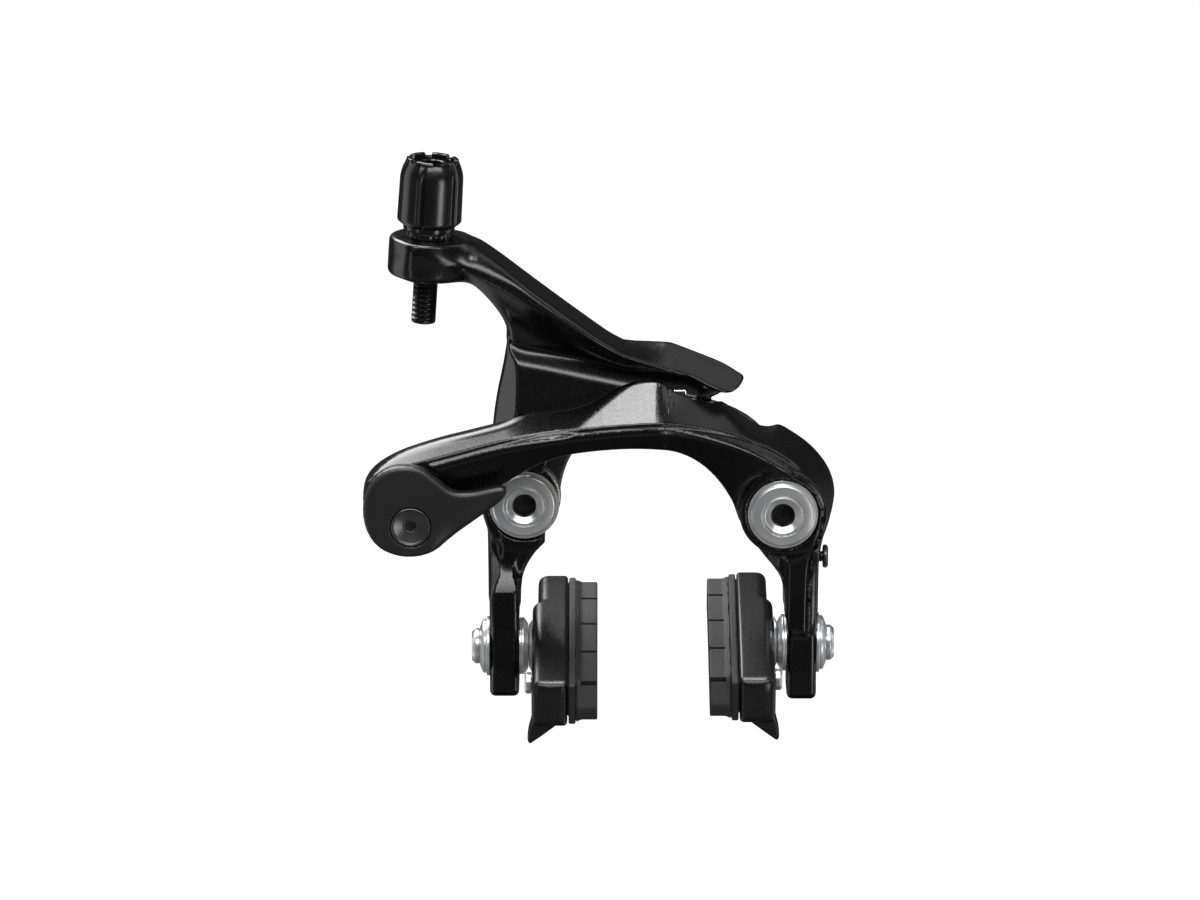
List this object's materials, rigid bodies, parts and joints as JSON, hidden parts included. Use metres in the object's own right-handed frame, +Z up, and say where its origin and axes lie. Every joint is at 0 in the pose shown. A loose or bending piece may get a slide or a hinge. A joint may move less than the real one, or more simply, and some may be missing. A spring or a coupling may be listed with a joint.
{
  "type": "rim brake caliper",
  "caption": "Direct-mount dual-pivot rim brake caliper: two black arms on separate mounting bolts, cable adjuster, quick-release lever and adjustable brake shoes.",
  "frame": {"origin": "on the mounting face, half way between the axes of the two mounting bolts", "axes": "+Y rearward, along the mounting bolts into the fork; +Z up, towards the cable adjuster; +X to the right as seen from the front"},
  "size_m": [0.114, 0.0563, 0.1392],
  "materials": {
    "gloss_black": "gloss black paint over forged aluminium",
    "satin_black": "satin black anodised and painted aluminium",
    "black_aluminium": "black anodised thread",
    "black_steel": "black oxide steel",
    "black_plastic": "moulded black plastic, slightly glossy",
    "plate": "dark pressed steel",
    "steel": "ground steel",
    "bolt_steel": "bright turned steel",
    "washer_steel": "zinc plated steel",
    "spring_steel": "drawn spring wire",
    "bronze": "sintered bronze",
    "pad_rubber": "matt dark grey brake compound"
  },
  "bodies": {
    "mount": {"bridge_plate": "plate", "left_mounting_bolt": "bolt_steel", "right_mounting_bolt": "bolt_steel", "left_pivot_sleeve": "steel", "right_pivot_sleeve": "steel", "thrust_washers": "washer_steel"},
    "front_arm": {"front_arm": "gloss_black", "front_arm_bush": "bronze", "front_arm_spring": "spring_steel", "roller_pin": "steel", "release_bush": "bronze"},
    "link_roller": {"link_roller": "steel"},
    "centring_screw": {"centring_screw": "black_steel"},
    "rear_arm": {"rear_arm": "gloss_black", "rear_arm_bush": "bronze", "rear_arm_spring": "spring_steel", "wear_pad": "steel", "detent_collar": "black_plastic"},
    "adjuster_barrel": {"adjuster_barrel": "black_plastic"},
    "adjuster_stud": {"adjuster_stud": "black_aluminium"},
    "quick_release": {"release_lever": "satin_black", "lever_cap_screw": "black_steel", "release_spindle": "steel", "clamp_plate": "washer_steel", "anchor_bolt": "bolt_steel"},
    "left_shoe_clamp": {"left_shoe_bolt": "bolt_steel", "left_outer_washers": "washer_steel", "left_cup_washer": "washer_steel"},
    "left_shoe": {"left_dome_washer": "washer_steel", "left_pad_holder": "satin_black", "left_pad": "pad_rubber", "left_pad_screw": "bolt_steel"},
    "right_shoe_clamp": {"right_shoe_bolt": "bolt_steel", "right_outer_washers": "washer_steel", "right_cup_washer": "washer_steel"},
    "right_shoe": {"right_dome_washer": "washer_steel", "right_pad_holder": "satin_black", "right_pad": "pad_rubber", "right_pad_screw": "bolt_steel"}
  },
  "joints": [
    {"name": "front_arm_pivot", "type": "hinge", "parent": "mount", "child": "front_arm", "pos_m": [0.031, 0, 0], "axis": [0, 1, 0], "range_deg": [0, 7], "stiffness_Nm_per_rad": 0.4, "springref_deg": -34.38},
    {"name": "rear_arm_pivot", "type": "hinge", "parent": "mount", "child": "rear_arm", "pos_m": [-0.031, 0, 0], "axis": [0, -1, 0], "range_deg": [0, 7], "stiffness_Nm_per_rad": 0.4, "springref_deg": -34.38},
    {"name": "link_roller_spin", "type": "hinge", "parent": "front_arm", "child": "link_roller", "pos_m": [0, -0.01, 0.022], "axis": [0, 1, 0], "continuous": true},
    {"name": "centring_screw_turn", "type": "hinge", "parent": "front_arm", "child": "centring_screw", "pos_m": [0.041, -0.013, -0.0132], "axis": [1, 0, 0], "range_deg": [-360, 360]},
    {"name": "release_lever_turn", "type": "hinge", "parent": "front_arm", "child": "quick_release", "pos_m": [-0.058, -0.026, -0.0012], "axis": [0, 1, 0], "range_deg": [0, 90]},
    {"name": "barrel_turn", "type": "hinge", "parent": "rear_arm", "child": "adjuster_barrel", "pos_m": [-0.0537, -0.011, 0.066], "axis": [0.0638, 0, 0.998], "range_deg": [-360, 1440]},
    {"name": "stud_slide", "type": "slide", "parent": "rear_arm", "child": "adjuster_stud", "axis": [0.0638, 0, 0.998], "range_m": [-0.0012, 0.0048]},
    {"name": "left_shoe_height", "type": "slide", "parent": "rear_arm", "child": "left_shoe_clamp", "axis": [0, 0, 1], "range_m": [-0.0035, 0.0035]},
    {"name": "left_shoe_tilt", "type": "hinge", "parent": "left_shoe_clamp", "child": "left_shoe", "pos_m": [-0.03, -0.013, -0.0359], "axis": [1, 0, 0], "range_deg": [-12, 8]},
    {"name": "right_shoe_height", "type": "slide", "parent": "front_arm", "child": "right_shoe_clamp", "axis": [0, 0, 1], "range_m": [-0.0035, 0.0035]},
    {"name": "right_shoe_tilt", "type": "hinge", "parent": "right_shoe_clamp", "child": "right_shoe", "pos_m": [0.03, -0.013, -0.035], "axis": [1, 0, 0], "range_deg": [-12, 8]}
  ],
  "couplings": [
    {"joint": "rear_arm_pivot", "follows": "front_arm_pivot", "ratio": 1},
    {"joint": "stud_slide", "follows": "barrel_turn", "m_per_rad": 0.00019099}
  ]
}
